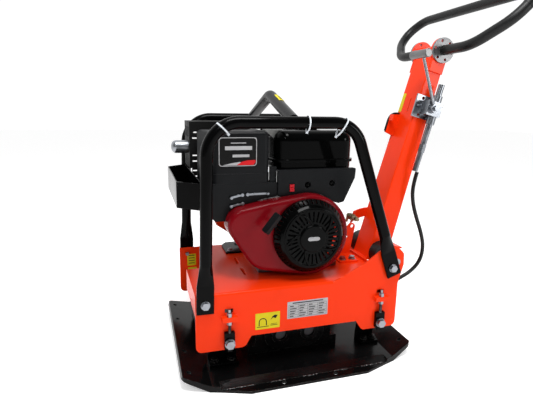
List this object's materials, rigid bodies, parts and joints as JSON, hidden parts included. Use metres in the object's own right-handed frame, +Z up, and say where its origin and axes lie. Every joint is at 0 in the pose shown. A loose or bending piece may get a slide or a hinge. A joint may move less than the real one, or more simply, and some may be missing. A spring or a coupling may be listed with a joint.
{
  "type": "plate compactor",
  "caption": "Reversible vibratory plate compactor: petrol engine on a rubber-mounted console over a steel plate, tubular lifting cage, tilting handle with loop bar and lever",
  "frame": {"origin": "centre of the base plate's length and width, on the surface that it stands on", "axes": "+X from the front of the machine towards the operator, +Y from the recoil starter's side towards the belt's side, +Z up"},
  "size_m": [1.0564, 0.626, 1.1413],
  "materials": {
    "plate_black": "gloss, worn",
    "steel_black": "semi-gloss",
    "grey_metal": "semi-gloss",
    "orange": "semi-gloss",
    "engine_red": "gloss",
    "engine_black": "gloss",
    "zinc": "zinc plated",
    "yellow_zinc": "yellow passivated",
    "steel": "machined",
    "cast_alloy": "cast",
    "cast_iron": "cast",
    "rubber": "matt",
    "black_plastic": "moulded",
    "chrome": "polished",
    "switch_red": "gloss"
  },
  "bodies": {
    "chassis": {"adjuster_blocks": "steel_black", "adjuster_screws": "zinc", "air_cleaner_cover": "black_plastic", "base_plate": "plate_black", "belt_guard": "orange", "blower_housing": "engine_red", "cage_tube_far": "steel_black", "cage_tube_near": "steel_black", "carburettor": "cast_alloy", "console": "orange", "crankcase": "cast_alloy", "cylinder_head": "cast_alloy", "exciter_bearings": "steel", "exciter_covers": "plate_black", "exciter_housing": "plate_black", "exhaust_pipe": "chrome", "fuel_tank": "engine_black", "handle_bushes": "rubber", "handle_crossbeam": "orange", "handle_pivot_bolt": "zinc", "hex_bolts": "zinc", "hose_fitting": "zinc", "intake_housing": "black_plastic", "lifting_eye": "grey_metal", "lock_bracket": "orange", "mount_brackets": "steel_black", "muffler": "steel", "muffler_guard": "engine_black", "pressure_hose": "rubber", "recoil_cover": "engine_black", "rubber_mounts": "rubber", "side_extensions": "plate_black", "tank_panel": "black_plastic", "tool_tray": "steel_black", "v_belt": "rubber"},
    "rear_shaft": {"rear_eccentric_shaft": "steel", "rear_timing_gear": "steel", "exciter_pulley": "cast_iron"},
    "front_shaft": {"front_eccentric_shaft": "steel", "front_timing_gear": "steel"},
    "crank": {"crankshaft": "steel", "flywheel": "cast_iron", "clutch_shoes": "steel"},
    "clutch": {"clutch_pulley": "cast_iron"},
    "rope_drum": {"recoil_pulley": "black_plastic"},
    "starter_handle": {"starter_grip": "black_plastic"},
    "filler_cap": {"fuel_cap": "black_plastic"},
    "switch": {"stop_switch": "switch_red"},
    "choke": {"choke_lever": "zinc"},
    "fuel_tap": {"fuel_lever": "zinc"},
    "throttle": {"throttle_lever": "zinc"},
    "handle": {"handle_bar": "orange", "pump_body": "zinc", "plunger_barrel": "yellow_zinc"},
    "lock": {"locking_pin": "yellow_zinc"},
    "loop": {"handlebar_tube": "zinc", "handlebar_grip": "rubber"},
    "piston": {"pump_piston": "steel"},
    "lever": {"direction_lever": "zinc", "lever_grip": "steel"}
  },
  "joints": [
    {"name": "crank_spin", "type": "hinge", "parent": "chassis", "child": "crank", "pos_m": [0.032, 0, 0.402], "axis": [0, 1, 0], "continuous": true},
    {"name": "clutch_spin", "type": "hinge", "parent": "chassis", "child": "clutch", "pos_m": [0.032, 0.25, 0.402], "axis": [0, 1, 0], "continuous": true},
    {"name": "rear_shaft_spin", "type": "hinge", "parent": "chassis", "child": "rear_shaft", "pos_m": [0.048, 0, 0.08], "axis": [0, 1, 0], "continuous": true},
    {"name": "front_shaft_spin", "type": "hinge", "parent": "chassis", "child": "front_shaft", "pos_m": [-0.048, 0, 0.08], "axis": [0, 1, 0], "continuous": true},
    {"name": "starter_pull", "type": "slide", "parent": "chassis", "child": "starter_handle", "axis": [-0.6572, -0.5477, 0.5178], "range_m": [0, 0.6], "stiffness_N_per_m": 20, "springref_m": -0.5},
    {"name": "rope_drum_spin", "type": "hinge", "parent": "chassis", "child": "rope_drum", "pos_m": [0.032, -0.188, 0.402], "axis": [0, 1, 0], "range_deg": [0, 573]},
    {"name": "fuel_cap_turn", "type": "hinge", "parent": "chassis", "child": "filler_cap", "pos_m": [0.088, 0.005, 0.718], "axis": [0, 0, 1], "range_deg": [0, 90]},
    {"name": "stop_switch_rock", "type": "hinge", "parent": "chassis", "child": "switch", "pos_m": [-0.01, -0.118, 0.541], "axis": [1, 0, 0], "range_deg": [-8, 8]},
    {"name": "choke_turn", "type": "hinge", "parent": "chassis", "child": "choke", "pos_m": [-0.164, -0.121, 0.5255], "axis": [0, 1, 0], "range_deg": [-5, 25]},
    {"name": "fuel_tap_turn", "type": "hinge", "parent": "chassis", "child": "fuel_tap", "pos_m": [-0.163, -0.121, 0.499], "axis": [0, 1, 0], "range_deg": [-5, 20]},
    {"name": "throttle_turn", "type": "hinge", "parent": "chassis", "child": "throttle", "pos_m": [-0.148, -0.121, 0.526], "axis": [0, 1, 0], "range_deg": [-12, 12]},
    {"name": "handle_tilt", "type": "hinge", "parent": "chassis", "child": "handle", "pos_m": [0.353, 0, 0.283], "axis": [0, 1, 0], "range_deg": [-14.8, 45], "deforming": ["pressure_hose"]},
    {"name": "locking_pin_slide", "type": "slide", "parent": "handle", "child": "lock", "axis": [0, -1, 0], "range_m": [0, 0.0115]},
    {"name": "handlebar_adjust", "type": "hinge", "parent": "handle", "child": "loop", "pos_m": [0.53529, 0, 0.97293], "axis": [0, 1, 0], "range_deg": [-30, 30]},
    {"name": "direction_lever_tilt", "type": "hinge", "parent": "handle", "child": "lever", "pos_m": [0.48944, -0.09, 0.78376], "axis": [0, 1, 0], "range_deg": [-25, 13]},
    {"name": "pump_piston_slide", "type": "slide", "parent": "handle", "child": "piston", "axis": [0.2554, 0, 0.9668], "range_m": [-0.003, 0.0055]}
  ],
  "couplings": [
    {"joint": "clutch_spin", "follows": "crank_spin", "ratio": 1},
    {"joint": "rear_shaft_spin", "follows": "crank_spin", "ratio": 1.3461},
    {"joint": "front_shaft_spin", "follows": "crank_spin", "ratio": -1.3461},
    {"joint": "rope_drum_spin", "follows": "starter_pull", "rad_per_m": 16.667},
    {"joint": "pump_piston_slide", "follows": "direction_lever_tilt", "m_per_rad": -0.0122}
  ]
}
